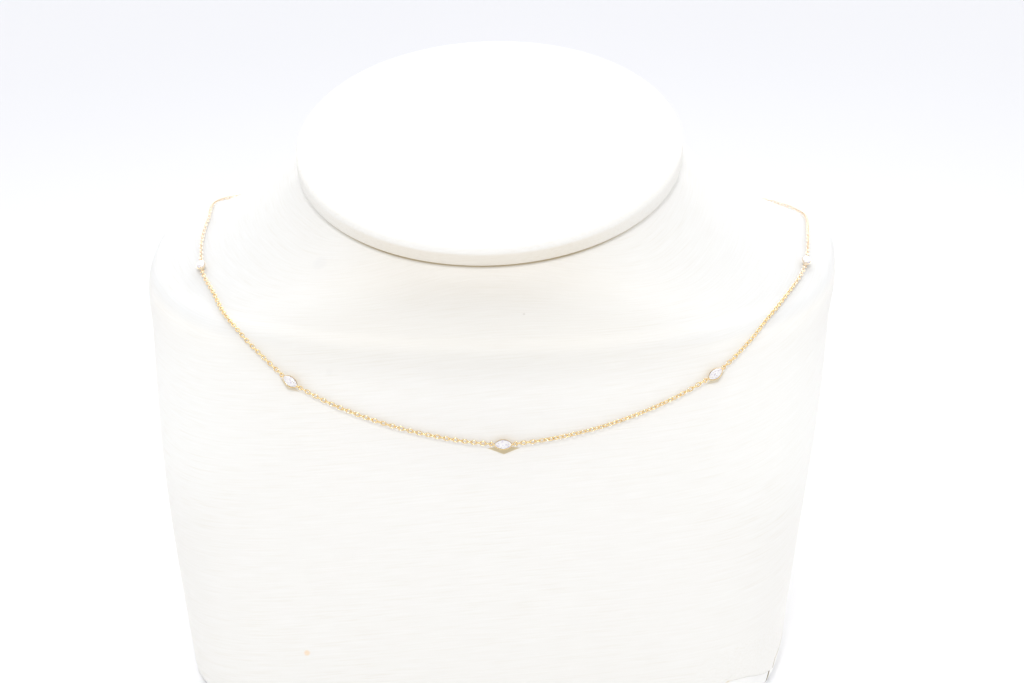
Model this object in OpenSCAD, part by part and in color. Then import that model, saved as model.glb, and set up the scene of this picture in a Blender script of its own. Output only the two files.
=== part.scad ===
// A station necklace of fine cable chain with five marquise stones, lying on a low neck bust.
// The front of the bust faces -Y, the base stands on Z = 0, and left and right are the viewer's.

/* [Bust] */
// Widest measure across the shoulders
body_width = 165; // [155:1:175]
// Height of the neck's top on the body's upright axis
neck_height = 109.5; // [102:0.5:117]
// Reach of the base in front of the upright axis
chest_depth = 83; // [78:1:90]
// Reach of the back behind the upright axis
back_depth = 38; // [35:1:44]
// Rounding of the base's edge
base_rounding = 2; // [1:0.5:4]
// Width of the neck at its top
neck_width = 87; // [82:1:93]
// Reach of the neck in front of the upright axis
neck_front = 45; // [42:1:48]
// Reach of the neck behind the upright axis
neck_back = 32.5; // [30:0.5:34.5]
// Forward lean of the neck's top and its cap, in degrees
cap_tilt = 16; // [12:0.5:19]
// Thickness of the cap
cap_thickness = 5; // [4.5:0.5:7]
// How far the cap stands out past the neck
cap_overhang = 2.5; // [1:0.5:4]
// Rounding of the cap's edge
cap_rounding = 2; // [1:0.25:2.2]

/* [Chain] */
// Distance from one stone to the next along the chain
station_distance = 50.5; // [48:0.5:53]
// Width of a link, across the chain
chain_width = 1.1; // [0.9:0.1:1.4]

/* [Stones] */
// Length of a stone from tip to tip
stone_length = 4; // [3.6:0.1:4.6]
// Width of a stone
stone_width = 2; // [1.8:0.1:2.3]
// Height of the crown above the girdle
crown_height = 0.35; // [0.25:0.05:0.5]
// Thickness of the girdle
girdle_height = 0.1; // [0.06:0.01:0.15]
// Depth of the pavilion below the girdle
pavilion_depth = 0.95; // [0.8:0.05:1.1]

/* [Settings] */
// Wall of the cup round a stone
cup_wall = 0.2; // [0.15:0.01:0.3]
// How much the cup's wall leans in on each side between its rim and its foot
cup_lean = 0.65; // [0.5:0.05:0.75]
// Room under the point of a stone
culet_room = 0.2; // [0.1:0.05:0.4]
// Diameter of the claw at each tip
claw_diameter = 0.6; // [0.5:0.05:0.7]
// Height of a claw above the girdle, without its round end
claw_height = 0.15; // [0.12:0.01:0.25]
// Wire of the eyes that the chain hooks into
eye_wire = 0.25; // [0.2:0.01:0.3]
// Opening of the eyes
eye_opening = 0.55; // [0.5:0.05:0.7]

/* [Clasp] */
// Length of the clasp without its eyes
clasp_length = 7; // [6:0.5:9]
// Diameter of the clasp
clasp_diameter = 2; // [1.8:0.1:2.6]

/* [Clearances] */
// Clearance between the bust and what lies on it
rest_gap = 0.15; // [0.1:0.01:0.25]
// Clearance between a stone and its setting
stone_gap = 0.1; // [0.1:0.01:0.14]
// Clearance between an eye and the end of a run of chain
chain_gap = 0.12; // [0.1:0.01:0.2]
// Clearance between the neck and its cap
cap_gap = 0.1; // [0.05:0.01:0.2]

/* [Hidden] */

covering_colour = "#f3efe4";
gold_colour = "#d8a545";
stone_colour = "#e8eef2";

// Sections of the body from the base to the neck's top. The first column is the height as a
// share of neck_height. Width, front and back are shares of the way from the neck's measure to
// the body's. Lead is the share of the neck's forward offset, tilt that of cap_tilt, and
// squareness is the exponent of the section's rounded outline, where 2 is an ellipse.
HEIGHT = 0;
WIDTH = 1;
FRONT = 2;
BACK = 3;
LEAD = 4;
TILT = 5;
SQUARENESS = 6;
SECTIONS = [
    [0.000, 0.680, 1.00, 1.00, 0.0, 0.00, 6.30],
    [0.284, 0.804, 0.90, 1.00, 0.0, 0.00, 5.40],
    [0.513, 0.922, 0.82, 1.00, 0.0, 0.00, 3.65],
    [0.656, 0.965, 0.70, 0.95, 0.0, 0.00, 3.10],
    [0.752, 1.000, 0.57, 0.70, 0.0, 0.00, 2.65],
    [0.785, 0.880, 0.42, 0.35, 0.0, 0.06, 2.35],
    [0.828, 0.585, 0.29, 0.15, 0.2, 0.20, 2.30],
    [0.879, 0.345, 0.17, 0.05, 0.4, 0.40, 2.30],
    [0.936, 0.155, 0.07, 0.00, 0.7, 0.65, 2.25],
    [1.000, 0.000, 0.00, 0.00, 1.0, 1.00, 2.10]
];

// The chain's route round the bust, from the clasp at the back past the left shoulder, the
// front and the right shoulder to the clasp again. Each point is an angle round the upright
// axis and a level in rows of SECTIONS.
ROUTE = [
    [90, 5.00], [110, 4.94], [128, 4.90], [142, 5.00], [154, 5.30], [166, 5.58],
    [177, 5.72], [188, 5.71], [200, 5.61], [210, 5.40], [220, 5.10], [229, 4.44],
    [236, 3.85], [243, 3.29], [252, 2.89], [263, 2.60], [275, 2.48], [287, 2.65],
    [298, 3.00], [307, 3.42], [313, 3.86], [319, 4.30], [328, 4.76], [340, 5.04],
    [352, 5.19], [364, 5.20], [374, 5.10], [384, 4.92], [396, 4.78], [412, 4.78],
    [430, 4.88], [450, 5.00]
];
// Angle of the middle stone, which lies a little right of the bust's middle
middle_angle = 275;

body_segments = 72;
lower_step = 0.5;
upper_step = 0.25;
shoulder_level = 4;
edge_steps = 3;
tube_sides = 8;
short_run_segments = 9;
long_run_segments = 18;
route_steps = 8;
curve_segments = 48;
overlap = 0.05;

top_level = len(SECTIONS) - 1;
neck_lead = (neck_front - neck_back) / 2;
// The upright axis, placed so that the base and the back lie evenly about Y = 0
axis_y = (chest_depth - back_depth) / 2;
full_angle = 360;
quarter_angle = 90;
// Level of the wall just above the base's rounded edge
foot_level = 0.1;

// Steps for slopes and directions on the body's surface
angle_step = 0.05;
level_step = 0.001;
length_step = 0.2;

function mix(from, to, share) = from + (to - from) * share;
function unit(v) = v / norm(v);

// Smooth curve through the rows a, b, c and d, read between b and c
function curve(a, b, c, d, t) =
    (2 * b + (c - a) * t + (2 * a - 5 * b + 4 * c - d) * t * t + (3 * b - a - 3 * c + d) * t * t * t) / 2;

// Value of a list at a place between its rows
function read(list, place) =
    let (last = len(list) - 1, low = min(floor(max(place, 0)), last - 1))
    curve(list[max(low - 1, 0)], list[low], list[low + 1], list[min(low + 2, last)], place - low);

// Distance from a section's middle to its outline, for half measures of 1
function outline(angle, squareness) =
    pow(pow(abs(cos(angle)), squareness) + pow(abs(sin(angle)), squareness), -1 / squareness);

// Point of the body's surface at an angle round the upright axis and a level in SECTIONS
function on_body(angle, level) =
    let (
        row = read(SECTIONS, level),
        lead = row[LEAD] * neck_lead,
        front = mix(neck_front, chest_depth, row[FRONT]) - lead,
        back = mix(neck_back, back_depth, row[BACK]) + lead,
        reach = outline(angle, row[SQUARENESS]),
        x = mix(neck_width, body_width, row[WIDTH]) / 2 * reach * cos(angle),
        y = (sin(angle) < 0 ? front : back) * reach * sin(angle) - lead
    )
    [x, axis_y + y, row[HEIGHT] * neck_height + tan(row[TILT] * cap_tilt) * y];

// Direction that points out of the body there
function outward(angle, level) =
    unit(cross(
        on_body(angle + angle_step, level) - on_body(angle - angle_step, level),
        on_body(angle, level + level_step) - on_body(angle, level - level_step)
    ));

// The route read finely, with its length up to each point
fine_route = [for (i = [0 : (len(ROUTE) - 1) * route_steps]) read(ROUTE, i / route_steps)];
fine_points = [for (spot = fine_route) on_body(spot[0], spot[1])];
lengths = [
    for (i = 0, total = 0; i < len(fine_points);
        i = i + 1,
        total = total + (i < len(fine_points) ? norm(fine_points[i] - fine_points[i - 1]) : 0)
    ) total
];
angle_by_length = [for (i = [0 : len(lengths) - 1]) [lengths[i], fine_route[i][0]]];
level_by_length = [for (i = [0 : len(lengths) - 1]) [lengths[i], fine_route[i][1]]];
length_by_angle = [for (i = [0 : len(lengths) - 1]) [fine_route[i][0], lengths[i]]];
route_length = lengths[len(lengths) - 1];
middle_length = lookup(middle_angle, length_by_angle);

// Frame at a length along the route: point on the body, then the directions along, across and out
function frame_at(length) =
    let (
        spot = [lookup(length, angle_by_length), lookup(length, level_by_length)],
        ahead = length + length_step,
        behind = length - length_step,
        out = outward(spot[0], spot[1]),
        step = on_body(lookup(ahead, angle_by_length), lookup(ahead, level_by_length))
            - on_body(lookup(behind, angle_by_length), lookup(behind, level_by_length)),
        along = unit(step - out * (step * out))
    )
    [on_body(spot[0], spot[1]), along, cross(out, along), out];

// Length along the route at a stone's middle, counted from the middle stone's place 0
function station_length(place) = middle_length + place * station_distance;

// Facets of a stone, with the outlines of its table, stars and keel facets as shares of its own
stone_facets = 8;
table_share = 0.58;
star_share = 0.8;
star_rise = 0.62;
keel_share = 0.36;
keel_drop = 0.68;

// Heights above the body, and measures of the setting
chain_lift = rest_gap + chain_width / 2;
girdle_low = rest_gap + culet_room + pavilion_depth;
girdle_high = girdle_low + girdle_height;
room_length = stone_length + 2 * stone_gap;
room_width = stone_width + 2 * stone_gap;
cup_length = room_length + 2 * cup_wall;
cup_width = room_width + 2 * cup_wall;
claw_x = stone_length / 2 + claw_diameter / 4;
eye_radius = (eye_opening + eye_wire) / 2;
eye_reach = eye_radius + eye_wire / 2;
setting_eye_x = claw_x + claw_diameter / 2 + eye_opening / 2;
clasp_eye_x = clasp_length / 2 + eye_opening / 2;
setting_reach = setting_eye_x + eye_reach + chain_gap;
clasp_reach = clasp_eye_x + eye_reach + chain_gap;

// Closed solid through a stack of rings, each of them flat and counted the same way round
module skin(rings) {
    count = len(rings[0]);
    last = len(rings) - 1;
    sides = [
        for (i = [0 : last - 1], j = [0 : count - 1])
            let (
                a = i * count + j,
                b = i * count + (j + 1) % count,
                c = a + count,
                d = b + count
            )
            each [[a, c, d], [a, d, b]]
    ];
    bottom = [for (j = [0 : count - 1]) j];
    top = [for (j = [0 : count - 1]) last * count + count - 1 - j];
    polyhedron(points = [for (ring = rings) each ring], faces = concat([bottom, top], sides));
}

// Puts its children on the body at a length along the route, X along the chain and Z outward
module on_route(length) {
    spot = frame_at(length);
    multmatrix([
        [spot[1][0], spot[2][0], spot[3][0], spot[0][0]],
        [spot[1][1], spot[2][1], spot[3][1], spot[0][1]],
        [spot[1][2], spot[2][2], spot[3][2], spot[0][2]],
        [0, 0, 0, 1]
    ])
        children();
}

// Point of the base's rounded edge at an angle, a share of the way from the flat foot to the wall
function on_base_edge(angle, share) =
    let (
        turn = share * quarter_angle,
        out = outward(angle, foot_level),
        inset = base_rounding * (1 - sin(turn)),
        wall = on_body(angle, foot_level) - inset * unit([out[0], out[1], 0])
    )
    [wall[0], wall[1], base_rounding * (1 - cos(turn))];

// Chest, shoulders and neck in one closed form with a flat base and a rounded base edge
module bust_body() {
    angles = [for (j = [0 : body_segments - 1]) j * full_angle / body_segments];
    levels = concat(
        [for (level = [lower_step : lower_step : shoulder_level]) level],
        [for (level = [shoulder_level + upper_step : upper_step : top_level]) level]
    );
    color(covering_colour)
        skin(concat(
            [for (k = [0 : edge_steps]) [for (angle = angles) on_base_edge(angle, k / edge_steps)]],
            [for (level = levels) [for (angle = angles) on_body(angle, level)]]
        ));
}

// Oval disc with a rounded edge, lying on the slanting top of the neck
module neck_cap() {
    squareness = SECTIONS[top_level][SQUARENESS];
    half_width = neck_width / 2 + cap_overhang;
    half_depth = (neck_front + neck_back) / 2 / cos(cap_tilt) + cap_overhang;
    // Inset from the widest outline and height, up one rounded edge and over the other
    edge = concat(
        [for (k = [0 : edge_steps]) let (turn = quarter_angle * k / edge_steps)
            [cap_rounding * (1 - sin(turn)), cap_rounding * (1 - cos(turn))]],
        [for (k = [0 : edge_steps]) let (turn = quarter_angle * k / edge_steps)
            [cap_rounding * (1 - cos(turn)), cap_thickness - cap_rounding * (1 - sin(turn))]]
    );
    color(covering_colour)
        translate([0, axis_y - neck_lead, neck_height - tan(cap_tilt) * neck_lead])
            rotate([cap_tilt, 0, 0])
                translate([0, 0, cap_gap])
                    skin([
                        for (row = edge) [
                            for (j = [0 : body_segments - 1])
                                let (turn = j * full_angle / body_segments, reach = outline(turn, squareness))
                                [
                                    (half_width - row[0]) * reach * cos(turn),
                                    (half_depth - row[0]) * reach * sin(turn),
                                    row[1]
                                ]
                        ]
                    ]);
}

// One run of chain as a tube between two lengths along the route
module chain_run(from, to, segments) {
    color(gold_colour)
        skin([
            for (i = [0 : segments])
                let (spot = frame_at(mix(from, to, i / segments)))
                [
                    for (j = [0 : tube_sides - 1])
                        let (turn = (j + 0.5) * full_angle / tube_sides)
                        spot[0] + spot[3] * (chain_lift + chain_width / 2 * cos(turn))
                            - spot[2] * (chain_width / 2 * sin(turn))
                ]
        ]);
}

// Run of chain between the setting at a place and the next one to its right
module short_run(place) {
    chain_run(
        station_length(place) + setting_reach,
        station_length(place + 1) - setting_reach,
        short_run_segments
    );
}

// Run of chain behind the neck from the clasp to the setting farthest left
module back_left_run() {
    chain_run(clasp_reach, station_length(-2) - setting_reach, long_run_segments);
}

// Run of chain behind the neck from the setting farthest right to the clasp
module back_right_run() {
    chain_run(station_length(2) + setting_reach, route_length - clasp_reach, long_run_segments);
}

// Pointed oval with straight or leaning sides: two arcs that meet in a tip at each end
module marquise(length, width, low, high, low_inset = 0, high_inset = 0) {
    radius = (length * length + width * width) / (4 * width);
    intersection_for(side = [-1, 1])
        translate([0, side * (radius - width / 2), low])
            cylinder(h = high - low, r1 = radius - low_inset, r2 = radius - high_inset, $fn = curve_segments);
}

// Wire ring that the chain hooks into, flat on the body
module eye(x) {
    translate([x, 0, chain_lift])
        rotate_extrude($fn = curve_segments)
            translate([eye_radius, 0])
                circle(d = eye_wire, $fn = curve_segments);
}

// Claw over one tip of a stone
module claw(x) {
    translate([x, 0, rest_gap + overlap])
        cylinder(h = girdle_high + claw_height - rest_gap - overlap, d = claw_diameter, $fn = curve_segments);
    translate([x, 0, girdle_high + claw_height])
        sphere(d = claw_diameter, $fn = curve_segments);
}

// Room for a stone and its clearance, open to the cup's foot and above the crown
module stone_room() {
    marquise(room_length, room_width, rest_gap - overlap, girdle_low, low_inset = cup_lean);
    marquise(room_length, room_width, girdle_low - stone_gap, girdle_high);
    marquise(room_length, room_width, girdle_high - overlap, girdle_high + crown_height + stone_gap,
        low_inset = -overlap, high_inset = crown_height + stone_gap);
}

// Marquise cup with a claw at each tip and an eye at each end, soldered in one
module setting(place) {
    color(gold_colour)
        on_route(station_length(place)) {
            difference() {
                union() {
                    marquise(cup_length, cup_width, rest_gap, girdle_high, low_inset = cup_lean);
                    claw(-claw_x);
                    claw(claw_x);
                }
                stone_room();
            }
            eye(-setting_eye_x);
            eye(setting_eye_x);
        }
}

// Point of a stone's outline at a step round it, scaled, at a height
function stone_point(step, scale, height) =
    let (
        radius = (stone_length * stone_length + stone_width * stone_width) / (4 * stone_width),
        drop = radius - stone_width / 2,
        even = step * full_angle / (2 * stone_facets),
        turn = atan2(stone_width * sin(even), stone_length * cos(even)),
        reach = sqrt(radius * radius - pow(drop * cos(turn), 2)) - drop * abs(sin(turn))
    )
    [scale * reach * cos(turn), scale * reach * sin(turn), height];

// Marquise-cut stone: a table, stars, kites and upper facets, a girdle, and a pavilion
module stone(place) {
    n = stone_facets;
    crown = girdle_high + crown_height;
    table = [for (k = [0 : n - 1]) stone_point(2 * k, table_share, crown)];
    star_level = girdle_high + crown_height * star_rise;
    star = [for (k = [0 : n - 1]) stone_point(2 * k + 1, star_share, star_level)];
    upper = [for (k = [0 : 2 * n - 1]) stone_point(k, 1, girdle_high)];
    lower = [for (k = [0 : 2 * n - 1]) stone_point(k, 1, girdle_low)];
    keel_level = girdle_low - pavilion_depth * keel_drop;
    keel = [for (k = [0 : n - 1]) stone_point(2 * k + 1, keel_share, keel_level)];
    culet = [[0, 0, girdle_low - pavilion_depth]];
    s = n;
    u = 2 * n;
    l = 4 * n;
    p = 6 * n;
    point = 7 * n;
    facets = [
        for (k = [0 : n - 1])
            let (
                next = (k + 1) % n,
                before = (k + n - 1) % n,
                even = 2 * k,
                odd = 2 * k + 1,
                end = (2 * k + 2) % (2 * n)
            )
            each [
                [k, next, s + k],
                [k, s + k, s + before],
                [s + before, s + k, u + even],
                [s + k, u + odd, u + even],
                [s + k, u + end, u + odd],
                [u + even, u + odd, l + odd],
                [u + even, l + odd, l + even],
                [u + odd, u + end, l + end],
                [u + odd, l + end, l + odd],
                [l + even, l + odd, p + k],
                [l + odd, l + end, p + k],
                [l + even, p + k, p + before],
                [p + before, p + k, point]
            ]
    ];
    top = [for (k = [0 : n - 1]) n - 1 - k];
    color(stone_colour)
        on_route(station_length(place))
            polyhedron(
                points = concat(table, star, upper, lower, keel, culet),
                faces = concat([top], facets)
            );
}

// Plain closed clasp behind the neck, with an eye at each end
module clasp() {
    radius = clasp_diameter / 2;
    straight = clasp_length / 2 - radius;
    color(gold_colour)
        on_route(0) {
            translate([-straight, 0, rest_gap + radius])
                rotate([0, 90, 0])
                    cylinder(h = 2 * straight, r = radius, $fn = curve_segments);
            for (side = [-1, 1]) {
                translate([side * straight, 0, rest_gap + radius])
                    sphere(r = radius, $fn = curve_segments);
                eye(side * clasp_eye_x);
            }
        }
}

bust_body();
neck_cap();
clasp();
back_left_run();  // chain_back_left
short_run(-2);  // chain_side_left
short_run(-1);  // chain_front_left
short_run(0);  // chain_front_right
short_run(1);  // chain_side_right
back_right_run();  // chain_back_right
setting(-2);  // setting_far_left
setting(-1);  // setting_left
setting(0);  // setting_centre
setting(1);  // setting_right
setting(2);  // setting_far_right
stone(-2);  // stone_far_left
stone(-1);  // stone_left
stone(0);  // stone_centre
stone(1);  // stone_right
stone(2);  // stone_far_right
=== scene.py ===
"""Looks of a station necklace on a low neck bust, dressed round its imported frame.

The bust stands on Z = 0 with its chest towards -Y, and left and right are the viewer's. Sizes are
in metres, as the frame's are. The surface of the bust and the route of the chain repeat the
formulas and tables of the part's source, so each finer piece lies where its plain solid is.
"""

import logging
import math
from dataclasses import dataclass
from enum import Enum, IntEnum
from functools import cached_property
from typing import Protocol

import bpy
import numpy as np
from mathutils import Matrix, Vector
from numpy.typing import NDArray


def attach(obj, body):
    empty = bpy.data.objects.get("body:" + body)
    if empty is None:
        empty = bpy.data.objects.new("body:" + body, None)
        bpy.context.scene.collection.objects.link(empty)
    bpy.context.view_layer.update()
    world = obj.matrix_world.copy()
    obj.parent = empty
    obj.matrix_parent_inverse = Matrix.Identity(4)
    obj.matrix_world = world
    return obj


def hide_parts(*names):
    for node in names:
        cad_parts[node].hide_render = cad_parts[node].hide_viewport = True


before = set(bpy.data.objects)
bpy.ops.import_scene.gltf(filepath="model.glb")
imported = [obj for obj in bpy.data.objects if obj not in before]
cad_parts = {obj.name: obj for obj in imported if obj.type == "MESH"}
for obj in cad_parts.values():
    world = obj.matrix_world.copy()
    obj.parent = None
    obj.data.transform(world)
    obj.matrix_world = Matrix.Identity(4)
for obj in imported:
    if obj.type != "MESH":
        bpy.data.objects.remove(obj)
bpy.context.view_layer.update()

Floats = NDArray[np.float64]
Colour = tuple[float, float, float]
Point = tuple[float, float, float]
Point2 = tuple[float, float]
Range = tuple[float, float]
Socket = bpy.types.NodeSocket
# Rows of the tables of tones, with lengths in millimetres. A band: full up to one height, none
# from another, colour and share at the sides. A shade: middle, radii, colour and the share of the
# radii that it is full to. A mark: degrees, level, radius, colour and strength. A line: the
# numbers of the two points that it joins, radius, colour and strength.
BandRow = tuple[float, float, Colour, float]
ShadeRow = tuple[Point, Point, Colour, float]
MarkRow = tuple[float, float, float, Colour, float]
LineRow = tuple[int, int, float, Colour, float]

LOG = logging.getLogger("necklace")
BODY = "root"
MM = 0.001
FULL_TURN = 2 * math.pi
# A rod's round end stops just short of a quarter circle, so that its last ring is not a point
ROUND_END = 0.97 * math.pi / 2


class Column(IntEnum):
    """Columns of the table of sections."""

    HEIGHT = 0
    WIDTH = 1
    FRONT = 2
    BACK = 3
    LEAD = 4
    TILT = 5
    SQUARENESS = 6


# Sections of the body from the base to the neck's top, in the columns named above: height as a
# share of the neck's height, width, front and back as shares of the way from the neck's measure
# to the body's, lead and tilt as shares of the neck's own, and the exponent of the outline.
SECTIONS: Floats = np.array([
    [0.000, 0.680, 1.00, 1.00, 0.0, 0.00, 6.30],
    [0.284, 0.804, 0.90, 1.00, 0.0, 0.00, 5.40],
    [0.513, 0.922, 0.82, 1.00, 0.0, 0.00, 3.65],
    [0.656, 0.965, 0.70, 0.95, 0.0, 0.00, 3.10],
    [0.752, 1.000, 0.57, 0.70, 0.0, 0.00, 2.65],
    [0.785, 0.880, 0.42, 0.35, 0.0, 0.06, 2.35],
    [0.828, 0.585, 0.29, 0.15, 0.2, 0.20, 2.30],
    [0.879, 0.345, 0.17, 0.05, 0.4, 0.40, 2.30],
    [0.936, 0.155, 0.07, 0.00, 0.7, 0.65, 2.25],
    [1.000, 0.000, 0.00, 0.00, 1.0, 1.00, 2.10],
])

# The chain's route from the clasp at the back past the left shoulder, the front and the right
# shoulder to the clasp again: degrees round the upright axis and levels in rows of SECTIONS.
ROUTE: Floats = np.array([
    [90, 5.00], [110, 4.94], [128, 4.90], [142, 5.00], [154, 5.30], [166, 5.58],
    [177, 5.72], [188, 5.71], [200, 5.61], [210, 5.40], [220, 5.10], [229, 4.44],
    [236, 3.85], [243, 3.29], [252, 2.89], [263, 2.60], [275, 2.48], [287, 2.65],
    [298, 3.00], [307, 3.42], [313, 3.86], [319, 4.30], [328, 4.76], [340, 5.04],
    [352, 5.19], [364, 5.20], [374, 5.10], [384, 4.92], [396, 4.78], [412, 4.78],
    [430, 4.88], [450, 5.00],
])


def mix(start: Floats | float, end: Floats | float, share: Floats | float) -> Floats | float:
    """Value a share of the way from start to end."""
    return start + (end - start) * share


def unit(vectors: Floats) -> Floats:
    """Vectors of length 1 in the same directions."""
    return vectors / np.linalg.norm(vectors, axis=-1, keepdims=True)


def read(table: Floats, place: Floats) -> Floats:
    """Reads a table between its rows on one smooth curve.

    With rows a, b, c and d, and a place that lies a share t of the way from b to c, the value is
    half of 2b + (c - a)t + (2a - 5b + 4c - d)t^2 + (3b - a - 3c + d)t^3. The end rows count twice.

    Args:
        table: One row of numbers for each knot of the curve.
        place: Fractional row numbers.

    Returns:
        One row of numbers for each place.
    """
    last = len(table) - 1
    place = np.asarray(place, float)
    low = np.minimum(np.floor(np.maximum(place, 0)).astype(int), last - 1)
    t = (place - low)[..., None]
    a, b, c, d = (table[np.clip(low + step, 0, last)] for step in (-1, 0, 1, 2))
    square = (2 * a - 5 * b + 4 * c - d) * t**2
    cube = (3 * b - a - 3 * c + d) * t**3
    return (2 * b + (c - a) * t + square + cube) / 2


def outline(turn: Floats, squareness: Floats | float) -> Floats:
    """Reach of a rounded outline of half measure 1: (|cos|^n + |sin|^n) to the power -1/n."""
    total = np.abs(np.cos(turn)) ** squareness + np.abs(np.sin(turn)) ** squareness
    return total ** (-1 / np.asarray(squareness, float))


def turns(count: int) -> Floats:
    """Angles of a full turn in equal steps."""
    return np.arange(count) * FULL_TURN / count


def smooth(share: Floats) -> Floats:
    """Share s of a way held between 0 and 1 and eased at both ends: 3s^2 - 2s^3."""
    share = np.clip(share, 0, 1)
    return 3 * share**2 - 2 * share**3


def in_metres(sizes: Point) -> Point:
    """Millimetres as metres."""
    return tuple(size * MM for size in sizes)


def show(name: str, data: bpy.types.ID) -> bpy.types.Object:
    """Puts a new object into the scene.

    Args:
        name: The object's name.
        data: Its mesh, light or camera.

    Returns:
        The object.
    """
    thing = bpy.data.objects.new(name, data)
    bpy.context.scene.collection.objects.link(thing)
    return thing


@dataclass(frozen=True)
class BustShape:
    """Sizes of the bust, and its surface as a function of an angle and a level."""

    body_width: float = 165 * MM
    neck_height: float = 109.5 * MM
    chest_depth: float = 83 * MM
    back_depth: float = 38 * MM
    base_rounding: float = 2 * MM
    neck_width: float = 87 * MM
    neck_front: float = 45 * MM
    neck_back: float = 32.5 * MM
    cap_tilt: float = math.radians(16)
    foot_level: float = 0.1

    @property
    def neck_lead(self) -> float:
        """How far the neck's middle stands in front of the upright axis."""
        return (self.neck_front - self.neck_back) / 2

    @property
    def axis_y(self) -> float:
        """Place of the upright axis, with the base and the back evenly about Y = 0."""
        return (self.chest_depth - self.back_depth) / 2

    @property
    def top_level(self) -> int:
        """Level of the neck's top."""
        return len(SECTIONS) - 1

    def surface(self, turn: Floats, level: Floats) -> Floats:
        """Points of the body's surface.

        Each level is a rounded outline whose half measures run from the neck's to the body's by
        the table's shares, deeper in front than behind, and tilted about the upright axis.

        Args:
            turn: Angles round the upright axis, in radians.
            level: Fractional rows of SECTIONS.

        Returns:
            A point for each angle and level.
        """
        turn, level = np.broadcast_arrays(np.asarray(turn, float), np.asarray(level, float))
        row = np.moveaxis(read(SECTIONS, level), -1, 0)
        lead = row[Column.LEAD] * self.neck_lead
        front = mix(self.neck_front, self.chest_depth, row[Column.FRONT]) - lead
        back = mix(self.neck_back, self.back_depth, row[Column.BACK]) + lead
        half_width = mix(self.neck_width, self.body_width, row[Column.WIDTH]) / 2
        reach = outline(turn, row[Column.SQUARENESS])
        x = half_width * reach * np.cos(turn)
        y = np.where(np.sin(turn) < 0, front, back) * reach * np.sin(turn) - lead
        z = row[Column.HEIGHT] * self.neck_height + np.tan(row[Column.TILT] * self.cap_tilt) * y
        return np.stack([x, self.axis_y + y, z], -1)

    def outward(self, turn: Floats, level: Floats) -> Floats:
        """Directions out of the body: across both the round and the upward direction there.

        Args:
            turn: Angles round the upright axis, in radians.
            level: Fractional rows of SECTIONS.

        Returns:
            A direction of length 1 for each angle and level.
        """
        turn_step = math.radians(0.05)
        level_step = 0.001
        round_it = self.surface(turn + turn_step, level) - self.surface(turn - turn_step, level)
        upward = self.surface(turn, level + level_step) - self.surface(turn, level - level_step)
        return unit(np.cross(round_it, upward))

    def base_edge(self, turn: Floats, share: Floats) -> Floats:
        """Points of the base's rounded edge.

        The wall just above the edge moves in level with the floor by the rounding times 1 - sin
        of a quarter turn's share, and stands at the rounding times 1 - cos of it.

        Args:
            turn: Angles round the upright axis, in radians.
            share: Share of the way from the flat foot, 0, to the wall, 1.

        Returns:
            A point for each angle and share.
        """
        quarter = np.asarray(share, float) * math.pi / 2
        out = self.outward(turn, np.full(np.shape(turn), self.foot_level))
        level_out = unit(out * [1, 1, 0])
        inset = (self.base_rounding * (1 - np.sin(quarter)))[..., None]
        edge = self.surface(turn, self.foot_level) - inset * level_out
        edge[..., 2] = self.base_rounding * (1 - np.cos(quarter))
        return edge


@dataclass(frozen=True)
class Spot:
    """Places on the bust along the chain, each with its directions along, across and out."""

    place: Floats
    along: Floats
    across: Floats
    out: Floats

    def put(self, local: Floats) -> Floats:
        """Takes points from a place's own frame, X along the chain and Z outward, to the bust.

        Args:
            local: Points of shape (places, ..., 3).

        Returns:
            The same points in the shared frame: place + x along + y across + z out.
        """
        middle = (slice(None), *(None,) * (local.ndim - 2))
        return (
            self.place[middle]
            + local[..., 0:1] * self.along[middle]
            + local[..., 1:2] * self.across[middle]
            + local[..., 2:3] * self.out[middle]
        )


@dataclass(frozen=True)
class Route:
    """The chain's way round the bust, read by its length from the clasp."""

    bust: BustShape
    station_distance: float = 50.5 * MM
    middle_degrees: float = 275
    steps: int = 8
    length_step: float = 0.2 * MM

    @cached_property
    def fine(self) -> Floats:
        """The table read finely, in degrees and levels."""
        return read(ROUTE, np.arange((len(ROUTE) - 1) * self.steps + 1) / self.steps)

    @cached_property
    def lengths(self) -> Floats:
        """Length of the route up to each fine point, as a sum of straight steps."""
        points = self.bust.surface(np.radians(self.fine[:, 0]), self.fine[:, 1])
        return np.concatenate([[0], np.cumsum(np.linalg.norm(np.diff(points, axis=0), axis=1))])

    @property
    def total(self) -> float:
        """Length of the whole loop."""
        return float(self.lengths[-1])

    def station(self, place: float) -> float:
        """Length at a station's middle, counted from the middle station's place 0."""
        middle = float(np.interp(self.middle_degrees, self.fine[:, 0], self.lengths))
        return middle + place * self.station_distance

    def on_body(self, length: Floats) -> tuple[Floats, Floats]:
        """Angle and level at a length, read straight between the fine points."""
        degrees = np.interp(length, self.lengths, self.fine[:, 0])
        return np.radians(degrees), np.interp(length, self.lengths, self.fine[:, 1])

    def spot(self, length: Floats | float) -> Spot:
        """Places on the bust at lengths along the route.

        The direction along is the route's own with its part along the outward one taken off, and
        the direction across is out times along.

        Args:
            length: Lengths from the clasp.

        Returns:
            The places with their directions.
        """
        length = np.atleast_1d(np.asarray(length, float))
        turn, level = self.on_body(length)
        out = self.bust.outward(turn, level)
        ahead = self.bust.surface(*self.on_body(length + self.length_step))
        behind = self.bust.surface(*self.on_body(length - self.length_step))
        step = ahead - behind
        along = unit(step - out * np.sum(step * out, -1, keepdims=True))
        return Spot(self.bust.surface(turn, level), along, np.cross(out, along), out)


class Ends(Enum):
    """How the rows of a surface end."""

    JOINED = "the last row meets the first"
    CLOSED = "each end closes in one point"


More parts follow.
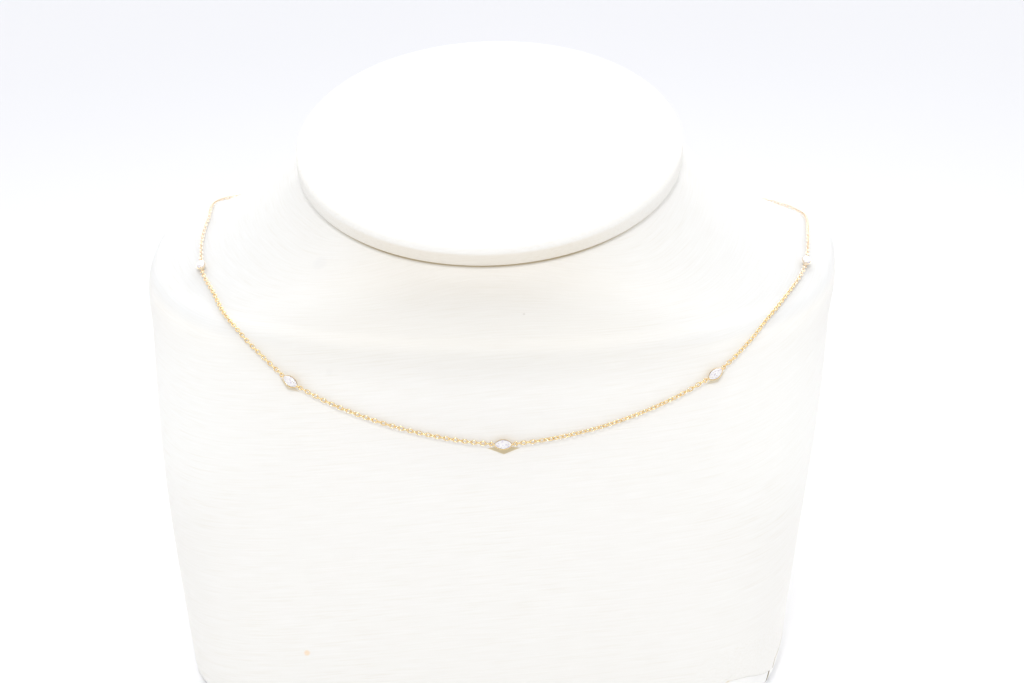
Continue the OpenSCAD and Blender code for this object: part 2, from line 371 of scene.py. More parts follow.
@dataclass
class Surface:
    """Points and faces of a piece, and its flat coordinates where a pattern follows it."""

    points: Floats
    faces: list[list[int]]
    corners: Floats | None = None

    @staticmethod
    def of_rows(rows: Floats, ends: Ends, flat: Floats | None = None) -> "Surface":
        """Closed surface through rows of points, each row a ring.

        Neighbouring points of neighbouring rings make a face. A ring runs so that its direction
        times that of the rows points outward. A closed end gets one point in its ring's middle.

        Args:
            rows: Points of shape (copies, rows, points of a ring, 3).
            ends: How the rows end.
            flat: Flat coordinates of shape (rows, points of a ring + 1, 2), for one copy.

        Returns:
            The surface of all the copies.
        """
        copies, row_count, ring_count = rows.shape[:3]
        steps = row_count if ends is Ends.JOINED else row_count - 1
        starts = np.arange(copies) * row_count * ring_count
        row = np.arange(steps)[:, None, None] + [0, 0, 1, 1]
        ring = np.arange(ring_count)[:, None] + [0, 1, 1, 0]
        quads = row % row_count * ring_count + ring % ring_count
        points = rows.reshape(-1, 3)
        faces = (starts[:, None, None, None] + quads).reshape(-1, 4).tolist()
        corners = [] if flat is None else [flat[row, ring].reshape(-1, 2)]
        if ends is Ends.CLOSED:
            for end, order in ((0, [1, 0]), (row_count - 1, [0, 1])):
                pair = np.arange(ring_count)[:, None] + order
                edge = starts[:, None, None] + end * ring_count + pair % ring_count
                pole = np.arange(copies)[:, None, None] + len(points)
                lid = np.concatenate([edge, np.broadcast_to(pole, (*edge.shape[:2], 1))], -1)
                faces += lid.reshape(-1, 3).tolist()
                points = np.concatenate([points, rows[:, end].mean(1)])
                if flat is not None:
                    middle = np.broadcast_to(flat[end].mean(0), (ring_count, 1, 2))
                    corners.append(np.concatenate([flat[end, pair], middle], 1).reshape(-1, 2))
        return Surface(points, faces, None if flat is None else np.concatenate(corners))

    @staticmethod
    def of_sheet(points: Floats) -> "Surface":
        """Open sheet with a face between neighbouring points of neighbouring rows.

        Args:
            points: Points of shape (rows, columns, 3).

        Returns:
            The sheet.
        """
        rows, columns = points.shape[:2]
        corner = (np.arange(rows - 1)[:, None] * columns + np.arange(columns - 1)).ravel()
        quads = np.stack([corner, corner + 1, corner + 1 + columns, corner + columns], -1)
        return Surface(points.reshape(-1, 3), quads.tolist())

    @staticmethod
    def of_parts(spot: Spot, parts: list[tuple[Floats, Ends]]) -> "Surface":
        """Surfaces through several parts' rows as one surface at a place on the bust.

        Args:
            spot: The place.
            parts: Each part's rows, in the place's own frame and of shape (rows, points of a
                ring, 3), and how they end.

        Returns:
            One surface with all their points and faces.
        """
        surfaces = [Surface.of_rows(spot.put(rows[None]), ends) for rows, ends in parts]
        points = np.concatenate([surface.points for surface in surfaces])
        starts = np.cumsum([0] + [len(surface.points) for surface in surfaces[:-1]])
        faces = [
            [int(start) + corner for corner in face]
            for start, surface in zip(starts, surfaces)
            for face in surface.faces
        ]
        return Surface(points, faces)


@dataclass(frozen=True)
class Piece:
    """What a finished piece is called, what it is made of and what it stands for."""

    name: str
    slot: str
    replaces: tuple[str, ...]
    sharp_angle: float | None = None

    def make(self, surface: Surface, material: bpy.types.Material) -> bpy.types.Object:
        """Makes the piece's mesh and puts it on the body.

        Args:
            surface: Points and faces in the shared frame.
            material: The piece's finish.

        Returns:
            The finished object.
        """
        mesh = bpy.data.meshes.new(self.name)
        mesh.from_pydata(surface.points.tolist(), [], surface.faces)
        mesh.shade_smooth()
        if self.sharp_angle is not None:
            mesh.set_sharp_from_angle(angle=self.sharp_angle)
        if surface.corners is not None:
            layer = mesh.uv_layers.new(name=Covering.LAYER)
            layer.uv.foreach_set("vector", surface.corners.astype(np.float32).ravel())
        mesh.materials.append(material)
        mesh.update()
        piece = show(self.name, mesh)
        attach(piece, BODY)
        if self.replaces:
            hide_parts(*self.replaces)
        LOG.info("%s: %d points, %d faces", self.name, len(mesh.vertices), len(mesh.polygons))
        return piece


class Blend(Enum):
    """How a tone changes the colour under it."""

    COVER = "MIX"
    MULTIPLY = "MULTIPLY"


class NodeTree:
    """The nodes of a material or of the surround, and short ways to add to them."""

    NUMBER_STEPS = ("DOT_PRODUCT", "DISTANCE", "LENGTH")

    def __init__(self, owner: bpy.types.Material | bpy.types.World) -> None:
        """Takes over the owner's nodes.

        Args:
            owner: The material or the surround.
        """
        owner.use_nodes = True
        self.nodes = owner.node_tree.nodes
        self.links = owner.node_tree.links

    def add(self, kind: str, inputs: dict[str | int, object], **options: object) -> bpy.types.Node:
        """Adds a node.

        Args:
            kind: The node's type after ShaderNode.
            inputs: A value or another node's output for each input.
            **options: Settings of the node itself.

        Returns:
            The node.
        """
        node = self.nodes.new("ShaderNode" + kind)
        for key, value in options.items():
            setattr(node, key, value)
        for key, value in inputs.items():
            if isinstance(value, Socket):
                self.links.new(value, node.inputs[key])
            else:
                node.inputs[key].default_value = value
        return node

    def coordinates(self, layer: str | None = None) -> Socket:
        """Object coordinates, or a piece's own flat ones."""
        if layer is None:
            return self.add("TexCoord", {}).outputs["Object"]
        return self.add("UVMap", {}, uv_map=layer).outputs["UV"]

    def stretch(self, vector: Socket, scale: Point, turn: Point = (0, 0, 0)) -> Socket:
        """Coordinates turned and then scaled."""
        turned = self.add("Mapping", {"Vector": vector, "Rotation": turn})
        return self.add("Mapping", {"Vector": turned.outputs[0], "Scale": scale}).outputs[0]

    def noise(self, vector: Socket, scale: float = 1, detail: float = 2,
              roughness: float = 0.5) -> Socket:
        """Soft noise between 0 and 1."""
        inputs = {"Vector": vector, "Scale": scale, "Detail": detail, "Roughness": roughness}
        return self.add("TexNoise", inputs).outputs["Fac"]

    def fit(self, value: Socket, low: float, high: float, to_low: float = 0,
            to_high: float = 1) -> Socket:
        """A value's range from low to high, spread smoothly over another range and held there."""
        inputs = {"Value": value, "From Min": low, "From Max": high, "To Min": to_low,
                  "To Max": to_high}
        return self.add("MapRange", inputs, interpolation_type="SMOOTHSTEP").outputs[0]

    def blend(self, share: Socket, first: Colour | Socket, second: Colour | Socket,
              kind: Blend = Blend.COVER) -> Socket:
        """Two colours mixed by a share."""
        inputs = {0: share, 6: with_alpha(first), 7: with_alpha(second)}
        return self.add("Mix", inputs, data_type="RGBA", blend_type=kind.value).outputs[2]

    def math(self, operation: str, *values: Socket | float) -> Socket:
        """Result of one step of arithmetic."""
        return self.add("Math", dict(enumerate(values)), operation=operation).outputs[0]

    def vector(self, operation: str, *values: Socket | Point) -> Socket:
        """Result of one step of arithmetic with vectors: a vector or, for some steps, a number."""
        node = self.add("VectorMath", dict(enumerate(values)), operation=operation)
        return node.outputs["Value" if operation in self.NUMBER_STEPS else "Vector"]

    def sum(self, *terms: tuple[float, Socket]) -> Socket:
        """Sum of values, each times its weight.

        Args:
            *terms: A weight and a value each.

        Returns:
            The sum.
        """
        total: Socket | float = 0.0
        for weight, value in terms:
            total = self.math("MULTIPLY_ADD", value, weight, total)
        return total

    def along(self, where: Socket, origin: Point, direction: Point) -> Socket:
        """How far a point lies from an origin along a direction, times the direction's length."""
        return self.vector("DOT_PRODUCT", self.vector("SUBTRACT", where, origin), direction)


class Finish(NodeTree):
    """A material with one Principled shader."""

    def __init__(self, name: str, **shader: float | Colour) -> None:
        """Starts the material.

        Args:
            name: The material's name.
            **shader: Constants of the shader's sockets, with _ for the space in their names.
        """
        self.material = bpy.data.materials.new(name)
        super().__init__(self.material)
        self.shader = self.nodes["Principled BSDF"]
        for key, value in shader.items():
            self.shader.inputs[key.replace("_", " ")].default_value = value

    def drive(self, key: str, value: Socket) -> None:
        """Links a value to one of the shader's sockets."""
        self.links.new(value, self.shader.inputs[key])

    def bump(self, height: Socket, depth: float) -> None:
        """Gives the shader a bump of that depth in metres where the height goes from 0 to 1."""
        bump = self.add("Bump", {"Height": height, "Distance": depth, "Strength": 1.0})
        self.drive("Normal", bump.outputs[0])


def with_alpha(colour: Colour | Socket) -> tuple[float, ...] | Socket:
    """A colour as four numbers, or an output as it is."""
    return (*colour, 1.0) if isinstance(colour, tuple) else colour


class Tone(Protocol):
    """Something that changes the covering's colour in one place."""

    colour: Colour
    kind: Blend

    def share(self, tree: NodeTree, where: Socket) -> Socket:
        """How much of the tone there is at each place.

        Args:
            tree: The material's nodes.
            where: Object coordinates.

        Returns:
            A share between 0 and 1.
        """


@dataclass(frozen=True)
class Patch:
    """A soft round or longish patch, with its three radii along the axes."""

    place: Point
    radii: Point
    colour: Colour
    strength: float = 1.0
    kind: Blend = Blend.COVER
    full_reach: float = 0.4

    def share(self, tree: NodeTree, where: Socket) -> Socket:
        """By the distance from the middle, counted in radii.

        Args:
            tree: The material's nodes.
            where: Object coordinates.

        Returns:
            A share between 0 and 1.
        """
        offset = tree.vector("SUBTRACT", where, self.place)
        shrunk = tree.vector("MULTIPLY", offset, tuple(1 / radius for radius in self.radii))
        return tree.fit(tree.vector("LENGTH", shrunk), self.full_reach, 1.0, self.strength, 0.0)


@dataclass(frozen=True)
class Crease:
    """A thin line from one point to another."""

    start: Point
    end: Point
    radius: float
    colour: Colour
    strength: float = 1.0
    kind: Blend = Blend.COVER
    full_reach: float = 0.3

    def share(self, tree: NodeTree, where: Socket) -> Socket:
        """By the distance from the line's nearest point.

        Args:
            tree: The material's nodes.
            where: Object coordinates.

        Returns:
            A share between 0 and 1.
        """
        way = Vector(self.end) - Vector(self.start)
        part = tree.along(where, self.start, tuple(way / way.length_squared))
        part = tree.math("MAXIMUM", tree.math("MINIMUM", part, 1.0), 0.0)
        offset = tree.vector("SUBTRACT", where, self.start)
        away = tree.vector("DISTANCE", offset, tree.vector("MULTIPLY", tuple(way), part))
        return tree.fit(away, self.radius * self.full_reach, self.radius, self.strength, 0.0)


@dataclass(frozen=True)
class GoldShade:
    """The painted shadow that a station throws down the chest: warm, flat and pointed, its warmth
    painted light reflected off the gold.
    """

    place: Point
    along: Point
    down: Point
    out: Point
    size: float
    strength: float
    half_length: float = 3.8 * MM
    drop: float = 1.0 * MM
    depth: float = 1.45 * MM
    flatness_above: float = 3.0
    thickness: float = 6 * MM
    edge: Range = (0.88, 1.06)
    colour: Colour = (0.77, 0.67, 0.46)
    kind: Blend = Blend.MULTIPLY

    def share(self, tree: NodeTree, where: Socket) -> Socket:
        """Full inside two slanting edges that meet below the station.

        Args:
            tree: The material's nodes.
            where: Object coordinates.

        Returns:
            A share between 0 and 1.
        """
        start = tuple(Vector(self.place) + Vector(self.down) * self.drop)
        aside, below, through = (
            tree.along(where, origin, tuple(Vector(direction) / length))
            for origin, direction, length in (
                (self.place, self.along, self.half_length * self.size),
                (start, self.down, self.depth * self.size),
                (self.place, self.out, self.thickness),
            )
        )
        above = tree.math("MULTIPLY", below, -self.flatness_above)
        below = tree.math("MAXIMUM", below, above)
        away = tree.math("ADD", tree.math("ABSOLUTE", aside), below)
        away = tree.math("MAXIMUM", away, tree.math("ABSOLUTE", through))
        return tree.fit(away, *self.edge, self.strength, 0.0)


@dataclass(frozen=True)
class Band:
    """A tone on all that lies below some height along a direction, changing to the sides."""

    origin: Point
    direction: Point
    full: float
    none: float
    colour: Colour
    side_share: float
    side_from: float = 18 * MM
    side_to: float = 42 * MM
    kind: Blend = Blend.MULTIPLY

    def share(self, tree: NodeTree, where: Socket) -> Socket:
        """Full up to one height and none from another, and changing to the left and right.

        Args:
            tree: The material's nodes.
            where: Object coordinates.

        Returns:
            A share between 0 and 1.
        """
        height = tree.along(where, self.origin, self.direction)
        aside = tree.math("ABSOLUTE", tree.along(where, self.origin, (1, 0, 0)))
        sides = tree.fit(aside, self.side_from, self.side_to, 1.0, self.side_share)
        return tree.math("MULTIPLY", tree.fit(height, self.full, self.none, 1.0, 0.0), sides)


@dataclass(frozen=True)
class Covering:
    """The bust's off-white covering: matte, with fine brushed streaks that rise to the right."""

    LAYER = "covering"

    name: str = "brushed_covering"
    layer: str | None = None
    colour: Colour = (0.905, 0.892, 0.860)
    streak_colour: Colour = (0.850, 0.820, 0.755)
    light_colour: Colour = (0.935, 0.926, 0.902)
    streak_length: float = 9 * MM
    streak_height: float = 0.42 * MM
    streak_rise: float = math.radians(6)
    streak_weight: float = 0.65
    streak_depth: float = 0.035 * MM
    hair_length: float = 18 * MM
    hair_height: float = 0.14 * MM
    dark_range: Range = (0.50, 0.68)
    dark_share: float = 0.55
    light_range: Range = (0.50, 0.36)
    light_share: float = 0.5
    cloud_size: float = 30 * MM
    cloud_range: Range = (0.35, 0.7)
    calm_share: float = 0.45
    rough_range: Range = (0.35, 0.7)
    grain_size: float = 0.18 * MM
    grain_depth: float = 0.008 * MM
    roughness: float = 0.62
    roughness_spread: Range = (0.56, 0.70)
    shine: float = 0.3

    def material(self, tones: tuple[Tone, ...] = ()) -> bpy.types.Material:
        """The covering's material.

        Long thin noise in two sizes makes the streaks, in colour and in height. A wide noise
        makes them stronger in some places, and a fine one is the grain of the covering.

        Args:
            tones: Changes of its colour in single places, one after the other.

        Returns:
            The material.
        """
        tree = Finish(self.name, Roughness=self.roughness, Specular_IOR_Level=self.shine)
        where = tree.coordinates(self.layer)
        turn = (0, 0, -self.streak_rise) if self.layer else (0, self.streak_rise, 0)
        streaks, hairs = (
            tree.noise(tree.stretch(where, (1 / length, 1 / height, 1 / height), turn),
                       detail=detail)
            for length, height, detail in (
                (self.streak_length, self.streak_height, 3), (self.hair_length, self.hair_height, 2)
            )
        )
        clouds = tree.noise(where, 1 / self.cloud_size, detail=3)
        grain = tree.noise(where, 1 / self.grain_size, detail=1)
        brushed = tree.sum((self.streak_weight, streaks), (1 - self.streak_weight, hairs))
        dark = tree.fit(brushed, *self.dark_range, 0.0, self.dark_share)
        often = tree.fit(clouds, *self.cloud_range, self.calm_share, 1.0)
        colour = tree.blend(tree.math("MULTIPLY", dark, often), self.colour, self.streak_colour)
        light = tree.fit(brushed, *self.light_range, 0.0, self.light_share)
        colour = tree.blend(light, colour, self.light_colour)
        body = tree.coordinates()
        for tone in tones:
            colour = tree.blend(tone.share(tree, body), colour, tone.colour, tone.kind)
        tree.drive("Base Color", colour)
        tree.drive("Roughness", tree.fit(brushed, *self.rough_range, *self.roughness_spread))
        height = tree.sum((1.0, brushed), (self.grain_depth / self.streak_depth, grain))
        tree.bump(height, self.streak_depth)
        return tree.material


@dataclass(frozen=True)
class Gold:
    """Polished yellow gold, deeper in places, finely scratched, and painted paler towards the back
    as painted light.
    """

    name: str = "polished_gold"
    colour: Colour = (0.97, 0.77, 0.44)
    deep_colour: Colour = (0.94, 0.69, 0.34)
    deep_range: Range = (0.4, 0.65)
    painted_light_colour: Colour = (0.94, 0.80, 0.63)
    painted_light_range: Range = (-25 * MM, 5 * MM)
    rough_range: Range = (0.35, 0.7)
    roughness_spread: Range = (0.112, 0.224)
    patch_size: float = 0.9 * MM
    scratch_size: float = 0.12 * MM
    scratch_depth: float = 0.003 * MM

    def material(self) -> bpy.types.Material:
        """The gold's material: patches in colour and roughness, and scratches as a faint bump.

        Returns:
            The material.
        """
        tree = Finish(self.name, Metallic=1.0)
        where = tree.coordinates()
        patches = tree.noise(where, 1 / self.patch_size, detail=3, roughness=0.6)
        colour = tree.blend(tree.fit(patches, *self.deep_range), self.colour, self.deep_colour)
        # Painted light: the gold turns paler towards the back, washed out as by brighter light
        # there
        behind = tree.fit(tree.along(where, (0, 0, 0), (0, 1, 0)), *self.painted_light_range)
        tree.drive("Base Color", tree.blend(behind, colour, self.painted_light_colour))
        tree.drive("Roughness", tree.fit(patches, *self.rough_range, *self.roughness_spread))
        tree.bump(tree.noise(where, 1 / self.scratch_size, detail=2), self.scratch_depth)
        return tree.material


@dataclass(frozen=True)
class ClearStone:
    """A bright colourless cut stone: its near-white colour and its small lilac and dark gleams are
    painted reflections.
    """

    name: str = "clear_stone"
    colour: Colour = (0.99, 0.968, 0.965)
    lilac_colour: Colour = (0.77, 0.70, 0.84)
    lilac_range: Range = (0.56, 0.64)
    lilac_share: float = 0.8
    lilac_size: float = 0.42 * MM
    dark_colour: Colour = (0.42, 0.33, 0.28)
    dark_range: Range = (0.64, 0.70)
    dark_share: float = 0.9
    dark_size: float = 0.42 / 1.3 * MM
    dark_turn: Point = (1, 2, 3)
    rough_range: Range = (0.45, 0.6)
    roughness_spread: Range = (0.01, 0.06)
    refraction: float = 1.9
    transmission: float = 0.12

    def material(self) -> bpy.types.Material:
        """The stone's material, with painted gleams in two colours where a noise is high.

        Returns:
            The material.
        """
        tree = Finish(self.name, IOR=self.refraction, Transmission_Weight=self.transmission)
        where = tree.coordinates()
        lilac = tree.noise(where, 1 / self.lilac_size, detail=1)
        dark = tree.noise(tree.stretch(where, (1, 1, 1), self.dark_turn), 1 / self.dark_size,
                          detail=1)
        share = tree.fit(lilac, *self.lilac_range, 0.0, self.lilac_share)
        colour = tree.blend(share, self.colour, self.lilac_colour)
        share = tree.fit(dark, *self.dark_range, 0.0, self.dark_share)
        tree.drive("Base Color", tree.blend(share, colour, self.dark_colour))
        tree.drive("Roughness", tree.fit(lilac, *self.rough_range, *self.roughness_spread))
        return tree.material


@dataclass(frozen=True)
class PaleFloor:
    """A plain pale studio floor with painted light: lightest round the bust, where the bust's
    shadow falls, and cooler and deeper away from it as painted falloff.
    """

    name: str = "pale_floor"
    foot_colour: Colour = (0.955, 0.957, 0.975)
    foot_reach: float = 70 * MM
    near_colour: Colour = (0.825, 0.830, 0.852)
    near_reach: float = 160 * MM
    far_colour: Colour = (0.745, 0.750, 0.784)
    far_reach: float = 490 * MM
    patch_size: float = 150 * MM
    unevenness: float = 30 * MM
    roughness: float = 0.8
    shine: float = 0.1

    def material(self) -> bpy.types.Material:
        """The floor's material: three tones pass into each other at slightly uneven distances.

        Returns:
            The material.
        """
        tree = Finish(self.name, Roughness=self.roughness, Specular_IOR_Level=self.shine)
        where = tree.coordinates()
        patches = tree.noise(where, 1 / self.patch_size, detail=2)
        reach = tree.sum((1.0, tree.vector("LENGTH", where)), (self.unevenness, patches))
        # Painted light and shade: lightest round the bust where its shadow falls, deeper and cooler
        # farther off as painted falloff
        share = tree.fit(reach, self.foot_reach, self.near_reach)
        colour = tree.blend(share, self.foot_colour, self.near_colour)
        share = tree.fit(reach, self.near_reach, self.far_reach)
        tree.drive("Base Color", tree.blend(share, colour, self.far_colour))
        return tree.material


@dataclass(frozen=True)
class Bust:
    """The bust under its covering: body and cap."""

    shape: BustShape
    ring_points: int = 288
    lower_step: float = 0.1
    upper_step: float = 0.05
    shoulder_level: int = 4
    edge_steps: int = 6
    collar_level: float = 7.6
    collar_inset: float = 1.2 * MM
    collar_sine: float = 0.2
    cap_thickness: float = 5 * MM
    cap_overhang: float = 2.5 * MM
    cap_rounding: float = 1.3 * MM
    cap_gap: float = 0.1 * MM
    cap_dome: float = 0.5 * MM
    cap_squareness: float = 2.0
    cap_rings: int = 12
    cap_inmost: float = 0.03
    # The loose corner's free right edge and lower edge: degrees and levels
    flap_slit: tuple[Point2, ...] = (
        (319.0, 0.05), (319.8, 0.18), (320.7, 0.245), (323.1, 0.276), (324.9, 0.318), (326.5, 0.62)
    )
    flap_foot: tuple[Point2, ...] = (
        (300.0, 0.02), (306.0, 0.16), (310.4, 0.290), (313.3, 0.279), (317.1, 0.214), (319.5, 0.19)
    )
    flap_top: float = 0.62
    flap_lift: float = 0.55 * MM
    flap_rest: float = 0.08 * MM
    flap_root: float = 0.3 * MM
    flap_root_share: float = 1 / 3
    flap_thickness: float = 0.3 * MM
    flap_steps: int = 40
    # Painted shadow: a thin dark band on the neck just under the cap, where the gap between them
    # lies in shade
    neck_shadow_bands: tuple[BandRow, ...] = ((0.12, 0.40, (0.68, 0.59, 0.41), 0.2),)
    # Painted shade on the cap: its rim darker in front, where it faces down, and a thin painted
    # shadow line along its lower edge
    cap_shade_bands: tuple[BandRow, ...] = (
        (3.4, 4.3, (0.925, 0.89, 0.83), 0.1), (0.35, 0.55, (0.66, 0.58, 0.42), 0.2),
    )
    # Painted shade: the shoulders' tops toned down and warmed, most at the outer sides, where the
    # light falls on them most
    shoulder_painted_shade: Band = Band(
        (0, 0, 0), (0, 0, -1), -84 * MM, -81.5 * MM, (0.85, 0.865, 0.895), 0.0,
        side_from=72 * MM, side_to=22 * MM,
    )
    # Painted shade under the cap, on the neck's front and on the chest's middle, and painted light
    # on the chest's left and right sides
    painted_light_and_shade: tuple[ShadeRow, ...] = (
        ((0, -38, 86), (74, 20, 15), (0.895, 0.888, 0.878), 0.35),
        ((0, -25, 95), (56, 14, 10), (0.968, 0.951, 0.926), 0.2),
        ((3, -50, 68), (42, 20, 19), (0.97, 0.968, 0.97), 0.1),
        ((-74, -30, 62), (40, 45, 30), (1.052, 1.062, 1.072), 0.1),
        ((74, -30, 62), (40, 45, 30), (1.042, 1.052, 1.058), 0.1),
    )
    corner_shade: Patch = Patch(
        in_metres((64, -51, 0)), in_metres((17, 17, 12)), (0.97, 0.965, 0.95), full_reach=0.6
    )
    marks: tuple[MarkRow, ...] = (
        (241.72, 0.508, 0.9, (0.95, 0.66, 0.36), 0.55),
        (279.55, 6.138, 0.4, (0.45, 0.42, 0.36), 0.3),
        (227.75, 7.487, 2.4, (0.74, 0.74, 0.74), 0.2),
        (248.0, 3.565, 1.1, (0.78, 0.77, 0.74), 0.2),
    )
    # Painted shadow: dark lines on the body in the slit under the loose corner's lifted edge
    slit_shadow_lines: tuple[LineRow, ...] = (
        (0, 1, 0.65, (0.20, 0.15, 0.07), 1.0),
        (1, 2, 0.45, (0.20, 0.15, 0.07), 0.8),
        (2, 4, 0.35, (0.20, 0.15, 0.07), 0.5),
    )
    # A dark painted shadow low along the loose corner's free right edge, where it lifts most, then
    # tan lines higher up
    edge_lines: tuple[LineRow, ...] = (
        (1, 2, 0.40, (0.30, 0.22, 0.10), 0.9),
        (2, 3, 0.35, (0.55, 0.45, 0.28), 0.7),
        (3, 4, 0.35, (0.55, 0.45, 0.28), 0.6),
    )
    foot_lines: tuple[LineRow, ...] = tuple(
        (point, point + 1, 0.35, (0.85, 0.76, 0.58), 0.6) for point in range(1, 4)
    )

    def body_surface(self) -> Surface:
        """The body's surface from the foot's edge to the neck's top.

        Rings run round the body from the back: first those of the base's rounded edge, then those
        of the levels. The flat coordinates of a point are its way round from the front's middle
        and its way up from the foot, both along the surface.

        Returns:
            The closed surface with its flat coordinates.
        """
        shape = self.shape
        turn = math.pi / 2 + turns(self.ring_points)
        edge = np.linspace(0, 1, self.edge_steps)[:, None]
        lower = np.arange(shape.foot_level + self.lower_step, self.shoulder_level, self.lower_step)
        upper_count = round((shape.top_level - self.shoulder_level) / self.upper_step)
        upper = np.linspace(self.shoulder_level, shape.top_level, upper_count + 1)
        levels = np.concatenate([lower, upper])[:, None]
        round_edge = shape.base_edge(np.broadcast_to(turn, (len(edge), len(turn))), edge + 0 * turn)
        wall = shape.surface(turn[None], levels) + self.collar(turn[None], levels)
        rows = np.concatenate([round_edge, wall])
        closed = np.concatenate([rows, rows[:, :1]], 1)
        steps_round = np.linalg.norm(np.diff(closed, axis=1), axis=2)
        way_round = np.concatenate([0 * rows[:, :1, 0], np.cumsum(steps_round, 1)], 1)
        way_round -= way_round[:, self.ring_points // 2, None]
        steps_up = np.linalg.norm(np.diff(closed, axis=0), axis=2)
        way_up = np.concatenate([0 * closed[:1, :, 0], np.cumsum(steps_up, 0)])
        flat = np.stack([way_round, way_up], -1)
        return Surface.of_rows(rows[None], Ends.CLOSED, flat)

    def cap_halves(self) -> tuple[float, float]:
        """Half measures of the cap: the neck's top and the overhang.

        Returns:
            Half the width and half the depth.
        """
        shape = self.shape
        depth = (shape.neck_front + shape.neck_back) / 2 / math.cos(shape.cap_tilt)
        return shape.neck_width / 2 + self.cap_overhang, depth + self.cap_overhang

    def on_neck(self, x: Floats, y: Floats, z: Floats) -> Floats:
        """Takes points from the frame of the neck's top: tilted about X and moved onto it.

        Args:
            x: Places to the right.
            y: Places towards the back, along the slope.
            z: Heights over the neck's top.

        Returns:
            The points in the shared frame.
        """
        shape = self.shape
        tilt, lead = shape.cap_tilt, shape.neck_lead
        return np.stack([
            x,
            y * math.cos(tilt) - z * math.sin(tilt) + shape.axis_y - lead,
            y * math.sin(tilt) + z * math.cos(tilt) + shape.neck_height - math.tan(tilt) * lead,
        ], -1)

    def collar(self, turn: Floats, level: Floats) -> Floats:
        """How far the covering swells in front to meet the cap's lower edge.

        At the top it moves all the way from the neck's outline to the cap's lower edge. The way
        there grows smoothly from the collar's first level to the top, and with the sine from none
        at both sides to all of it in front.

        Args:
            turn: Angles round the upright axis, in radians.
            level: Fractional rows of SECTIONS.

        Returns:
            A movement for each angle and level.
        """
        top = self.shape.top_level
        half_width, half_depth = (half - self.collar_inset for half in self.cap_halves())
        reach = outline(turn, self.cap_squareness)
        edge = self.on_neck(
            half_width * reach * np.cos(turn), half_depth * reach * np.sin(turn), 0 * turn)
        rise = smooth((level - self.collar_level) / (top - self.collar_level))
        share = rise * smooth(-np.sin(turn) / self.collar_sine)
        return share[..., None] * (edge - self.shape.surface(turn, top))

    def cap_surface(self) -> Surface:
        """The cap's surface.

        Rings of one rounded outline move in by the rounding at the lower and the upper edge and
        then close over the top, which rises to a shallow dome by 1 minus the square of the way
        out. The cap is tilted about X with the neck's top and moved onto it.

        Returns:
            The closed surface.
        """
        half_width, half_depth = self.cap_halves()
        quarter = np.linspace(0, math.pi / 2, self.edge_steps)
        rounding = self.cap_rounding
        low = np.stack([rounding * (1 - np.sin(quarter)), rounding * (1 - np.cos(quarter))], -1)
        high = np.stack([low[:, 0][::-1], self.cap_thickness - low[:, 1][::-1]], -1)
        out = np.linspace(1, self.cap_inmost, self.cap_rings)[1:]
        inset = rounding + (1 - out) * (half_depth - rounding)
        dome = self.cap_thickness + self.cap_dome * (1 - out**2)
        profile = np.concatenate([low, high, np.stack([inset, dome], -1)])
        turn = turns(self.ring_points)
        reach = outline(turn, self.cap_squareness)
        shrink = profile[:, :1] / half_depth
        width = np.where(profile[:, :1] <= rounding, half_width - profile[:, :1],
                         (half_width - rounding) * (1 - shrink) / (1 - rounding / half_depth))
        x = width * reach * np.cos(turn)
        y = (half_depth - profile[:, :1]) * reach * np.sin(turn)
        z = profile[:, 1:] + self.cap_gap + 0 * turn
        return Surface.of_rows(self.on_neck(x, y, z)[None], Ends.CLOSED)

    def flap_surface(self) -> Surface:
        """The covering's loose corner at the lower right of the front.

        A sheet runs from under the covering to its free right edge, and from its free lower edge
        up to where it is whole again. It stands off the body by its lift times the square of the
        way to the right and the square of the way down.

        Returns:
            The open sheet.
        """
        degrees, level = np.array(self.flap_slit).T
        low_degrees, low_level = np.array(self.flap_foot).T
        across = np.linspace(0, 1, self.flap_steps)[None]
        up = np.linspace(0, 1, self.flap_steps)[:, None]
        first = low_degrees[0]
        foot = np.interp(mix(first, low_degrees[-1], across), low_degrees, low_level)
        levels = mix(foot, self.flap_top, up)
        right = np.interp(mix(foot[:, -1:], self.flap_top, up), level, degrees)
        turn = np.radians(mix(first, right, across))
        free = (np.minimum(way / self.flap_root_share, 1) for way in (across, 1 - up))
        lift = self.flap_lift * across**2 * (1 - up) ** 2 - self.flap_root * (1 - math.prod(free))
        points = self.shape.surface(turn, levels)
        points += self.shape.outward(turn, levels) * (lift + self.flap_rest)[..., None]
        return Surface.of_sheet(points)

    def on_surface(self, degrees: float, level: float, lift: float = 0.0) -> Point:
        """A point of the body's surface, or off it.

        Args:
            degrees: Angle round the upright axis.
            level: Fractional row of SECTIONS.
            lift: Distance off the surface.

        Returns:
            The point.
        """
        turn = math.radians(degrees)
        point = self.shape.surface(turn, level) + lift * self.shape.outward(turn, level)
        return tuple(point.tolist())

    def bands(self, rows: tuple[BandRow, ...], side: int) -> tuple[Tone, ...]:
        """Bands at the neck's top.

        Args:
            rows: A table of bands.
            side: 1 for heights over the neck's top, or -1 for depths under it.

        Returns:
            The bands.
        """
        tilt = self.shape.cap_tilt
        middle = tuple(self.on_neck(*np.zeros(3)).tolist())
        way = (0.0, -side * math.sin(tilt), side * math.cos(tilt))
        return tuple(
            Band(middle, way, full * MM, none * MM, colour, side_share)
            for full, none, colour, side_share in rows
        )

    def lines(self, points: list[Point], rows: tuple[LineRow, ...]) -> tuple[Tone, ...]:
        """Lines between numbered points."""
        return tuple(
            Crease(points[start], points[end], radius * MM, colour, strength)
            for start, end, radius, colour, strength in rows
        )

